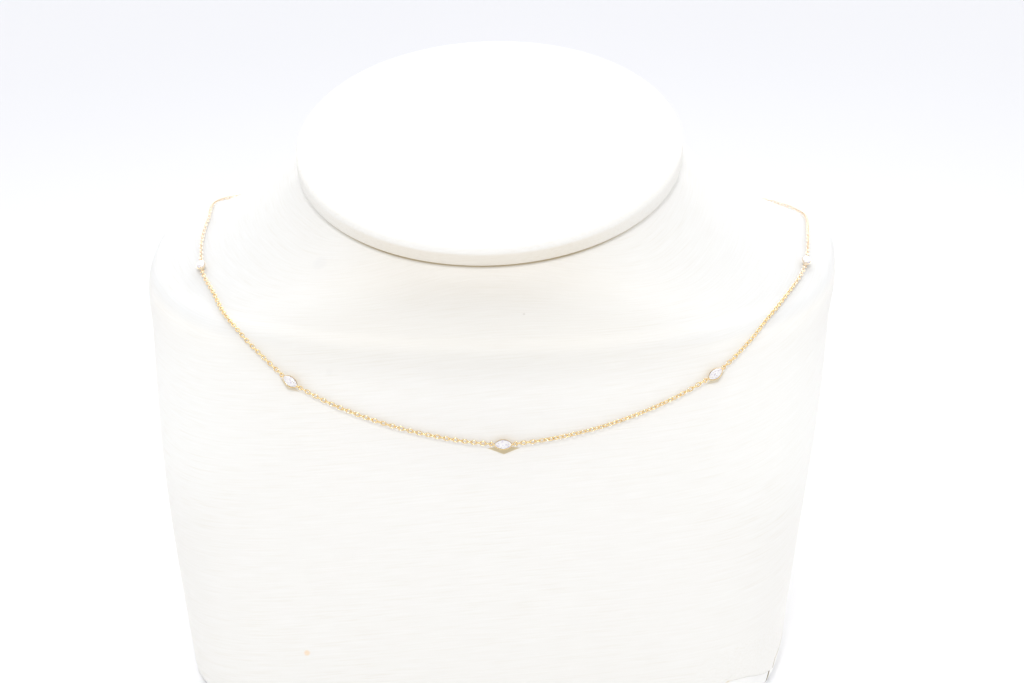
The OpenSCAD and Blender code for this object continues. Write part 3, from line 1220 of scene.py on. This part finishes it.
    def corner_tones(self) -> tuple[Tone, ...]:
        """The thin dark and tan lines along the loose corner's free edges; the dark one, low on its
        right edge, is painted shadow.

        Returns:
            The lines along its right edge and then those along its lower one.
        """
        edge = []
        for degrees, level in self.flap_slit:
            down = min((self.flap_top - level) / (self.flap_top - self.flap_foot[-1][1]), 1.0)
            edge.append(self.on_surface(degrees, level, self.flap_rest + self.flap_lift * down**2))
        low = [self.on_surface(*point, self.flap_rest) for point in self.flap_foot]
        return self.lines(edge, self.edge_lines) + self.lines(low, self.foot_lines)

    def tones(self) -> tuple[Tone, ...]:
        """The body's shades and small marks, each where the photograph shows it.

        Returns:
            The tones in the order in which they are laid over each other.
        """
        slit = [self.on_surface(*point) for point in self.flap_slit]
        return (
            *self.bands(self.neck_shadow_bands, -1),
            self.shoulder_painted_shade,
            *(
                Patch(in_metres(place), in_metres(radii), colour, 1.0, Blend.MULTIPLY, full_reach)
                for place, radii, colour, full_reach in self.painted_light_and_shade
            ),
            self.corner_shade,
            *(
                Patch(self.on_surface(degrees, level), (radius * MM,) * 3, colour, strength)
                for degrees, level, radius, colour, strength in self.marks
            ),
            *self.lines(slit, self.slit_shadow_lines),
        )

    def build(self, shades: tuple[Tone, ...]) -> None:
        """Makes the body, its loose corner and the cap.

        Args:
            shades: The painted shadows that the necklace adds to the covering's colour.
        """
        covering = Covering(layer=Covering.LAYER)
        body = Piece("body_covering", "covering", ("bust_body",))
        body.make(self.body_surface(), covering.material(self.tones() + shades))
        corner = Covering(name="corner_covering").material(self.corner_tones())
        flap = Piece("covering_corner", "covering", ()).make(self.flap_surface(), corner)
        sheet = flap.modifiers.new("thickness", "SOLIDIFY")
        sheet.thickness = self.flap_thickness
        sheet.offset = -1.0
        rim = Covering(name="cap_covering").material(self.bands(self.cap_shade_bands, 1))
        Piece("cap_covering", "covering", ("neck_cap",)).make(self.cap_surface(), rim)


class Lay(Enum):
    """How the links of a run lie on the bust, as the turn of a run's middle in degrees."""

    FLAT_AND_UPRIGHT = 8.0
    LEANING = 45.0


@dataclass(frozen=True)
class ChainRun:
    """Where a run of chain starts and ends along the route, and how its links lie."""

    name: str
    start: float
    end: float
    lay: Lay

    def piece(self) -> Piece:
        """The run's piece, which stands for its plain tube."""
        return Piece("links_" + self.name, "gold", ("chain_" + self.name,))


@dataclass(frozen=True)
class Chain:
    """Fine cable chain: oval links of round wire, each turned a quarter from the next."""

    route: Route
    link_width: float = 1.04 * MM
    wire: float = 0.24 * MM
    link_length: float = 1.56 * MM
    lift: float = 0.70 * MM
    squareness: float = 2.35
    link_steps: int = 14
    wire_sides: int = 6
    twist_length: float = 6 * MM
    unrest: float = math.radians(5)
    seed: int = 11

    def link_count(self, run: ChainRun) -> int:
        """Number of links: odd, with at most the pitch at which two links touch."""
        pitch = self.link_length - 2 * self.wire
        return 2 * math.ceil((run.end - run.start) / (2 * pitch)) + 1

    def surface(self, run: ChainRun) -> Surface:
        """All the links of a run.

        A link's middle line is a rounded outline of the link's half measures less half a wire, in
        a plane through the chain. The wire is a ring round that line. Each link is turned about
        the chain by a quarter more than the last, plus the run's own twist, which grows from
        none at the ends, where the links hang in upright through the eyes.

        Args:
            run: The run.

        Returns:
            The surface of its links.
        """
        count = self.link_count(run)
        length = np.linspace(run.start, run.end, count)
        spot = self.route.spot(length)
        away = np.minimum(length - run.start, run.end - length)
        twist = math.radians(run.lay.value) * (1 - np.exp(-((away / self.twist_length) ** 2)))
        chance = np.random.default_rng(self.seed)
        wander = chance.normal(0, self.unrest, count) * np.clip(away / self.twist_length, 0, 1)
        roll = math.pi / 2 * (1 + np.arange(count) % 2) + twist + wander
        turn = turns(self.link_steps)
        reach = outline(turn, self.squareness)
        line = np.stack([
            (self.link_length - self.wire) / 2 * reach * np.cos(turn),
            (self.link_width - self.wire) / 2 * reach * np.sin(turn),
        ], -1)
        tangent = unit(np.roll(line, -1, 0) - np.roll(line, 1, 0))
        side = turns(self.wire_sides)
        radius = self.wire / 2
        flat_x = line[:, 0, None] + radius * tangent[:, 1, None] * np.cos(side)
        flat_w = line[:, 1, None] - radius * tangent[:, 0, None] * np.cos(side)
        flat_p = np.broadcast_to(radius * np.sin(side), flat_x.shape)
        cos, sin = (f(roll)[:, None, None] for f in (np.cos, np.sin))
        local = np.stack([
            np.broadcast_to(flat_x, (count, *flat_x.shape)),
            flat_w * cos - flat_p * sin,
            self.lift + flat_w * sin + flat_p * cos,
        ], -1)
        return Surface.of_rows(spot.put(local), Ends.JOINED)

    def build(self, runs: tuple[ChainRun, ...], gold: bpy.types.Material) -> None:
        """Makes all the runs."""
        for run in runs:
            LOG.info("%s has %d links", run.name, self.link_count(run))
            run.piece().make(self.surface(run), gold)


def ring_surface(middle: Point, radius: float, wire: float, steps: int, sides: int) -> Floats:
    """Rows of a round wire ring that lies flat: a circle round a circle.

    Args:
        middle: The ring's middle.
        radius: From the middle to the wire's own middle.
        wire: Diameter of the wire.
        steps: Points round the ring.
        sides: Points round the wire.

    Returns:
        Points of shape (steps, sides, 3).
    """
    turn = turns(steps)[:, None]
    side = turns(sides)[None]
    reach = radius + wire / 2 * np.cos(side)
    x = middle[0] + reach * np.cos(turn)
    y = middle[1] + reach * np.sin(turn)
    z = middle[2] - wire / 2 * np.sin(side) + 0 * turn
    return np.stack([x, y, z], -1)


def rod_surface(path: Floats, radii: Floats, steps: int, sides: int, end_steps: int = 4) -> Floats:
    """Rows of a round rod with round ends along a path in the plane of X and Z.

    The path is one smooth curve through its points, and the radius follows it in the same way.
    At each end a quarter circle closes the rod.

    Args:
        path: Points of the path, each an X and a Z.
        radii: Radius at each of them.
        steps: Rows along the path.
        sides: Points round the rod.
        end_steps: Rows of each round end.

    Returns:
        Points of shape (rows, sides, 3).
    """
    place = np.linspace(0, len(path) - 1, steps)
    line = read(path, place)
    radius = read(radii[:, None], place)[:, 0]
    ahead = unit(np.gradient(line, axis=0))
    quarter = np.linspace(0, ROUND_END, end_steps + 1)[1:]
    head = line[-1] + ahead[-1] * (radius[-1] * np.sin(quarter))[:, None]
    tail = line[0] - ahead[0] * (radius[0] * np.sin(quarter[::-1]))[:, None]
    middle = np.concatenate([tail, line, head])
    along = np.concatenate([
        np.broadcast_to(ahead[0], tail.shape), ahead, np.broadcast_to(ahead[-1], head.shape)])
    around = np.concatenate([
        radius[0] * np.cos(quarter[::-1]), radius, radius[-1] * np.cos(quarter)])[:, None]
    side = turns(sides)[None]
    x = middle[:, :1] + around * along[:, 1:] * np.sin(side)
    z = middle[:, 1:] - around * along[:, :1] * np.sin(side)
    y = around * np.cos(side)
    return np.stack([x, y, z], -1)


@dataclass(frozen=True)
class Eyes:
    """The wire rings at both ends of a setting or the clasp."""

    reach: float
    lift: float
    radius: float = 0.4 * MM
    wire: float = 0.25 * MM
    steps: int = 24
    sides: int = 10

    def rows(self) -> Floats:
        """Both rings, of shape (2, steps, sides, 3)."""
        middles = [(side * self.reach, 0.0, self.lift) for side in (-1, 1)]
        return np.stack([
            ring_surface(middle, self.radius, self.wire, self.steps, self.sides)
            for middle in middles
        ])


@dataclass(frozen=True)
class Setting:
    """A marquise cup with a thin rounded rim, a claw over each tip and an eye at each end."""

    cup_length: float = 4.36 * MM
    cup_width: float = 2.40 * MM
    cup_drop: float = 0.07 * MM
    outline_steps: int = 48
    claw_steps: int = 9
    claw_sides: int = 14
    eyes: Eyes = Eyes(reach=2.725 * MM, lift=0.70 * MM)
    # The cup's wall in millimetres: how far in from the rim's outline and how high, and the share
    # of the drop, down outside, round the foot, up inside to the seat and over the rim
    wall: tuple[tuple[float, float, float], ...] = (
        (0.00, 1.22, 1), (0.10, 0.95, 1), (0.29, 0.62, 1), (0.50, 0.25, 1), (0.56, 0.16, 1),
        (0.66, 0.16, 1), (0.72, 0.25, 1), (0.50, 0.62, 1), (0.30, 1.00, 0.5), (0.22, 1.15, 0),
        (0.165, 1.18, 0), (0.155, 1.25, 0), (0.09, 1.29, 0.4), (0.02, 1.27, 1),
    )
    # A claw in millimetres: how far out, how high and how thick at each of its points
    claw: tuple[tuple[float, float, float], ...] = (
        (2.22, 0.45, 0.24), (2.21, 0.90, 0.24), (2.18, 1.30, 0.22), (2.10, 1.50, 0.20),
        (2.00, 1.60, 0.18),
    )

    def cup(self) -> Floats:
        """Rows of the cup: its wall's outline carried round the pointed oval.

        A pointed oval is two arcs. With the arcs' radius R, their middles D off the axis and an
        inset i, its tips are at the root of (R - i)^2 - D^2, and at x its half width is the root
        of (R - i)^2 - x^2, less D.

        Returns:
            Points of shape (outline steps, wall points, 3).
        """
        length, width = self.cup_length, self.cup_width
        radius = (length**2 + width**2) / (4 * width)
        off_axis = radius - width / 2
        inset, height, drop = (np.array(self.wall) * [MM, MM, self.cup_drop]).T
        turn = turns(self.outline_steps)[:, None]
        arc = radius - inset[None]
        x = np.sqrt(arc**2 - off_axis**2) * np.cos(turn)
        y = np.sign(np.sin(turn).round(9)) * (np.sqrt(arc**2 - x**2) - off_axis)
        return np.stack([x, y - drop, height + 0 * x], -1)

    def surface(self, spot: Spot) -> Surface:
        """The whole setting.

        Args:
            spot: Its place on the bust.

        Returns:
            The surface of the cup, both claws and both eyes.
        """
        claw = np.array(self.claw) * MM
        rod = rod_surface(claw[:, :2], claw[:, 2], self.claw_steps, self.claw_sides)
        return Surface.of_parts(spot, [
            (self.cup(), Ends.JOINED),
            (rod, Ends.CLOSED),
            (rod[:, ::-1] * [-1, 1, 1], Ends.CLOSED),
            *((ring, Ends.JOINED) for ring in self.eyes.rows()),
        ])


class Station(Enum):
    """The five stations, each with its place along the chain."""

    FAR_LEFT = -2
    LEFT = -1
    CENTRE = 0
    RIGHT = 1
    FAR_RIGHT = 2

    @property
    def label(self) -> str:
        """The station's name as the nodes have it."""
        return self.name.lower()


@dataclass(frozen=True)
class Clasp:
    """The plain closed clasp behind the neck, with an eye at each end."""

    length: float = 7 * MM
    diameter: float = 2 * MM
    rest_gap: float = 0.15 * MM
    steps: int = 9
    sides: int = 32
    end_steps: int = 8
    eyes: Eyes = Eyes(reach=3.775 * MM, lift=0.70 * MM)

    def surface(self, spot: Spot) -> Surface:
        """A straight rod with round ends, and its eyes.

        Args:
            spot: The clasp's place on the bust.

        Returns:
            The surface of the rod and both eyes.
        """
        radius = self.diameter / 2
        straight = self.length / 2 - radius
        lift = self.rest_gap + radius
        path = np.array([[-straight, lift], [0, lift], [straight, lift]])
        rod = rod_surface(path, np.full(3, radius), self.steps, self.sides, self.end_steps)
        eyes = ((ring, Ends.JOINED) for ring in self.eyes.rows())
        return Surface.of_parts(spot, [(rod, Ends.CLOSED), *eyes])


@dataclass(frozen=True)
class Necklace:
    """The necklace on the bust: runs of chain, settings with their stones, and the clasp."""

    route: Route
    setting: Setting = Setting()
    clasp: Clasp = Clasp()
    hook_in: float = 0.77 * MM
    sharp_angle: float = math.radians(50)
    lays: tuple[tuple[str, Lay], ...] = (
        ("back_left", Lay.LEANING), ("side_left", Lay.FLAT_AND_UPRIGHT),
        ("front_left", Lay.FLAT_AND_UPRIGHT), ("front_right", Lay.LEANING),
        ("side_right", Lay.LEANING), ("back_right", Lay.LEANING),
    )
    # How strong and how large the painted shadow below each station in front is
    shade_sizes: tuple[tuple[Station, float, float], ...] = (
        (Station.LEFT, 0.55, 0.75), (Station.CENTRE, 1.0, 1.0), (Station.RIGHT, 0.55, 0.75),
    )

    def runs(self) -> tuple[ChainRun, ...]:
        """The six runs of chain, each from eye to eye.

        Returns:
            The runs from the clasp past the left shoulder and back to it.
        """
        route = self.route
        reach = self.setting.eyes.reach + self.hook_in
        clasp_reach = self.clasp.eyes.reach + self.hook_in
        stations = ((route.station(station.value), reach) for station in Station)
        stops = [(0.0, clasp_reach), *stations, (route.total, clasp_reach)]
        return tuple(
            ChainRun(name, start + after, end - before, lay)
            for (name, lay), (start, after), (end, before) in zip(self.lays, stops, stops[1:])
        )

    def shades(self) -> tuple[Tone, ...]:
        """The warm painted shadow below each of the three stations in front.

        Returns:
            The shades from left to right.
        """
        tones = []
        for station, strength, size in self.shade_sizes:
            spot = self.route.spot(self.route.station(station.value))
            ways = (spot.place, spot.along, -spot.across, spot.out)
            tones.append(GoldShade(*(tuple(way[0].tolist()) for way in ways), size, strength))
        return tuple(tones)

    def build(self) -> None:
        """Makes the metal pieces and dresses the stones."""
        gold = Gold().material()
        Chain(self.route).build(self.runs(), gold)
        stone = ClearStone().material()
        for station in Station:
            spot = self.route.spot(self.route.station(station.value))
            replaced = ("setting_" + station.label,)
            piece = Piece("mount_" + station.label, "gold", replaced, self.sharp_angle)
            piece.make(self.setting.surface(spot), gold)
            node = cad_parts["stone_" + station.label]
            node.data.materials.clear()
            node.data.materials.append(stone)
            LOG.info("stone_%s dressed", station.label)
        spot = self.route.spot(0.0)
        Piece("clasp_body", "gold", ("clasp",)).make(self.clasp.surface(spot), gold)


@dataclass(frozen=True)
class SoftLight:
    """A round soft light."""

    name: str
    place: Point
    target: Point
    size: float
    power: float
    colour: Colour

    def build(self) -> None:
        """Makes the light, turned towards its target."""
        light = bpy.data.lights.new(self.name, "AREA")
        light.shape = "DISK"
        light.size = self.size
        light.energy = self.power
        light.color = self.colour
        lamp = show(self.name, light)
        lamp.location = self.place
        aim = Vector(self.target) - Vector(self.place)
        lamp.rotation_euler = aim.to_track_quat("-Z", "Y").to_euler()
        lamp.visible_camera = False


@dataclass(frozen=True)
class PhotoCamera:
    """The camera at the photograph's place, a little rolled."""

    place: Point = (53.9 * MM, -648.0 * MM, 349.9 * MM)
    target: Point = (4.6 * MM, 13.0 * MM, 61.3 * MM)
    roll: float = math.radians(-1.25)
    lens: float = 104.3
    sensor: float = 36.0
    clip: Range = (0.01, 50)

    def build(self) -> None:
        """Makes the camera: its right and up directions are the level ones turned by the roll."""
        data = bpy.data.cameras.new("photo_camera")
        data.lens = self.lens
        data.sensor_width = self.sensor
        data.clip_start, data.clip_end = self.clip
        camera = show("photo_camera", data)
        ahead = (Vector(self.target) - Vector(self.place)).normalized()
        level = ahead.cross(Vector((0, 0, 1))).normalized()
        upright = level.cross(ahead)
        right = level * math.cos(self.roll) + upright * math.sin(self.roll)
        up = upright * math.cos(self.roll) - level * math.sin(self.roll)
        turn = Matrix((right, up, -ahead)).transposed().to_4x4()
        camera.matrix_world = Matrix.Translation(self.place) @ turn
        bpy.context.scene.camera = camera


@dataclass(frozen=True)
class Glow:
    """A soft bright part of the surround: strength times the cosine from its middle to a power."""

    towards: Point
    sharpness: float
    strength: float


@dataclass(frozen=True)
class Surround:
    """A pale surround: the same all round, with soft glows added."""

    level: float = 0.41
    colour: Colour = (1.0, 1.0, 1.0)
    glows: tuple[Glow, ...] = (
        Glow((0, 1, 0.35), 2, 1.56),
        Glow((0, 0.8, 0.6), 4, 0.96),
        Glow((-1, 0, 0.35), 2, 0.16),
        Glow((1, 0, 0.35), 2, 0.21),
        Glow((-0.8, -0.6, 0.12), 4, 0.52),
        Glow((0.8, -0.6, 0.12), 4, 0.53),
        Glow((0, -1, 0), 6, 0.48),
    )

    def build(self) -> None:
        """Makes the world's shader: its strength is the level plus each glow's."""
        world = bpy.data.worlds.new("surround")
        tree = NodeTree(world)
        where = tree.add("TexCoord", {}).outputs["Generated"]
        total: Socket | float = self.level
        for glow in self.glows:
            towards = tuple(Vector(glow.towards).normalized())
            cosine = tree.math("MAXIMUM", tree.vector("DOT_PRODUCT", where, towards), 0.0)
            share = tree.math("POWER", cosine, glow.sharpness)
            total = tree.math("MULTIPLY_ADD", share, glow.strength, total)
        background = tree.nodes["Background"]
        background.inputs["Color"].default_value = with_alpha(self.colour)
        tree.links.new(total, background.inputs["Strength"])
        bpy.context.scene.world = world


@dataclass(frozen=True)
class Studio:
    """A pale floor, a soft light from above and in front, and a pale surround."""

    floor_reach: float = 6.0
    floor_level: float = -0.05 * MM
    surround: Surround = Surround()
    key: SoftLight = SoftLight(
        name="key_light", place=(0.0, -0.575, 0.909), target=(0.0, -0.03, 0.07), size=0.22,
        power=2.5, colour=(1.0, 1.0, 1.0),
    )
    camera: PhotoCamera = PhotoCamera()

    def build_floor(self) -> None:
        """Makes the floor: a flat square a hair below the base."""
        reach = self.floor_reach
        sides = np.array([[-1, -1], [1, -1], [1, 1], [-1, 1]], float) * reach
        points = np.concatenate([sides, np.full((4, 1), self.floor_level)], 1)
        mesh = bpy.data.meshes.new("floor")
        mesh.from_pydata(points.tolist(), [], [[0, 1, 2, 3]])
        mesh.materials.append(PaleFloor().material())
        show("floor", mesh)

    def build(self) -> None:
        """Makes the floor, the surround, the light and the camera."""
        self.build_floor()
        self.surround.build()
        self.key.build()
        self.camera.build()
        bpy.context.scene.view_settings.view_transform = "Standard"


def main() -> None:
    """Builds the bust, the necklace and the studio."""
    logging.basicConfig(level=logging.INFO, format="%(name)s: %(message)s")
    shape = BustShape()
    route = Route(shape)
    LOG.info("the loop is %.1f mm long", route.total / MM)
    necklace = Necklace(route)
    Bust(shape).build(necklace.shades())
    necklace.build()
    Studio().build()


if __name__ == "__main__":
    main()
